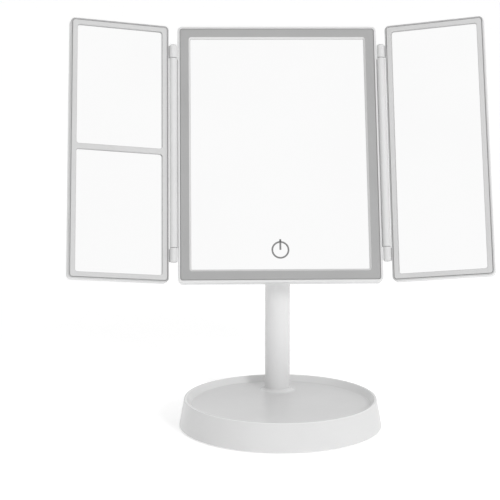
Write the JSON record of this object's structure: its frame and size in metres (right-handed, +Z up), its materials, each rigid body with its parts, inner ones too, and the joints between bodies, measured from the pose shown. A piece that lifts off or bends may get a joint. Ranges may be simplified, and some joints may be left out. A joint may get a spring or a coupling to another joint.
{
  "type": "lighted vanity mirror",
  "caption": "Lighted tri-fold vanity mirror on a round tray base: centre mirror in a frosted light band, hinged side mirrors, tilting head on a stem.",
  "frame": {"origin": "centre of the round base, on the table top", "axes": "+Z up, the mirrors face -Y, +X to the viewer's right"},
  "size_m": [0.3305, 0.1606, 0.32],
  "materials": {
    "white_abs": "satin moulded",
    "inner_plastic": "fine textured moulded",
    "frosted_diffuser": "frosted, lamp off",
    "silvered_glass": "polished",
    "steel": "zinc plated",
    "weight_steel": "oiled plate",
    "rubber": "matte moulded",
    "led_board": "white solder mask",
    "circuit_board": "green solder mask",
    "copper": "bare foil",
    "adhesive_foam": "closed cell foam",
    "cell_wrap": "printed foil wrap",
    "nylon": "moulded"
  },
  "bodies": {
    "base": {"base_bottom_cover": "inner_plastic", "base_cover_screw_1": "steel", "base_cover_screw_2": "steel", "base_cover_screw_3": "steel", "base_tray": "white_abs", "base_weight": "weight_steel", "rubber_foot_1": "rubber", "rubber_foot_2": "rubber", "rubber_foot_3": "rubber", "rubber_foot_4": "rubber", "stem_bolt": "steel", "stem_bolt_washer": "steel", "stem_foot_plug": "steel", "stem_head": "white_abs", "stem_head_screw": "steel", "stem_tube": "white_abs"},
    "head": {"battery_cell_1": "cell_wrap", "battery_cell_2": "cell_wrap", "battery_cell_3": "cell_wrap", "battery_cell_4": "cell_wrap", "battery_contact_1": "steel", "battery_contact_2": "steel", "battery_contact_3": "steel", "battery_contact_4": "steel", "battery_tray": "inner_plastic", "centre_mirror": "silvered_glass", "centre_rear_shell": "white_abs", "charging_socket": "steel", "control_board": "circuit_board", "friction_washer_left": "nylon", "friction_washer_right": "nylon", "led_strip_bottom": "led_board", "led_strip_left": "led_board", "led_strip_right": "led_board", "led_strip_top": "led_board", "light_band": "frosted_diffuser", "mirror_adhesive_sheet": "adhesive_foam", "mirror_carrier": "inner_plastic", "rear_screw_1": "steel", "rear_screw_2": "steel", "rear_screw_3": "steel", "rear_screw_4": "steel", "tilt_bolt": "steel", "tilt_nut": "steel", "touch_sensor": "copper"},
    "left_wing": {"left_hinge_pin_bottom": "steel", "left_hinge_pin_top": "steel", "left_lower_adhesive_pad": "adhesive_foam", "left_lower_mirror": "silvered_glass", "left_upper_adhesive_pad": "adhesive_foam", "left_upper_mirror": "silvered_glass", "left_wing_frame": "white_abs", "left_wing_shell": "white_abs"},
    "right_wing": {"right_adhesive_pad": "adhesive_foam", "right_hinge_pin_bottom": "steel", "right_hinge_pin_top": "steel", "right_mirror": "silvered_glass", "right_wing_frame": "white_abs", "right_wing_shell": "white_abs"},
    "battery_door": {"battery_door": "white_abs"}
  },
  "joints": [
    {"name": "head_tilt", "type": "hinge", "parent": "base", "child": "head", "pos_m": [0, 0.044, 0.1837], "axis": [-1, 0, 0], "range_deg": [-21, 69]},
    {"name": "left_wing_fold", "type": "hinge", "parent": "head", "child": "left_wing", "pos_m": [-0.0834, 0.03052, 0.21415], "axis": [0, 0.3584, 0.9336], "range_deg": [-15.6, 164.4]},
    {"name": "right_wing_fold", "type": "hinge", "parent": "head", "child": "right_wing", "pos_m": [0.0834, 0.03052, 0.21415], "axis": [0, -0.3584, -0.9336], "range_deg": [-17.5, 162.5]},
    {"name": "battery_door_slide", "type": "slide", "parent": "head", "child": "battery_door", "axis": [0, 0.3584, 0.9336], "range_m": [0, 0.06]}
  ]
}
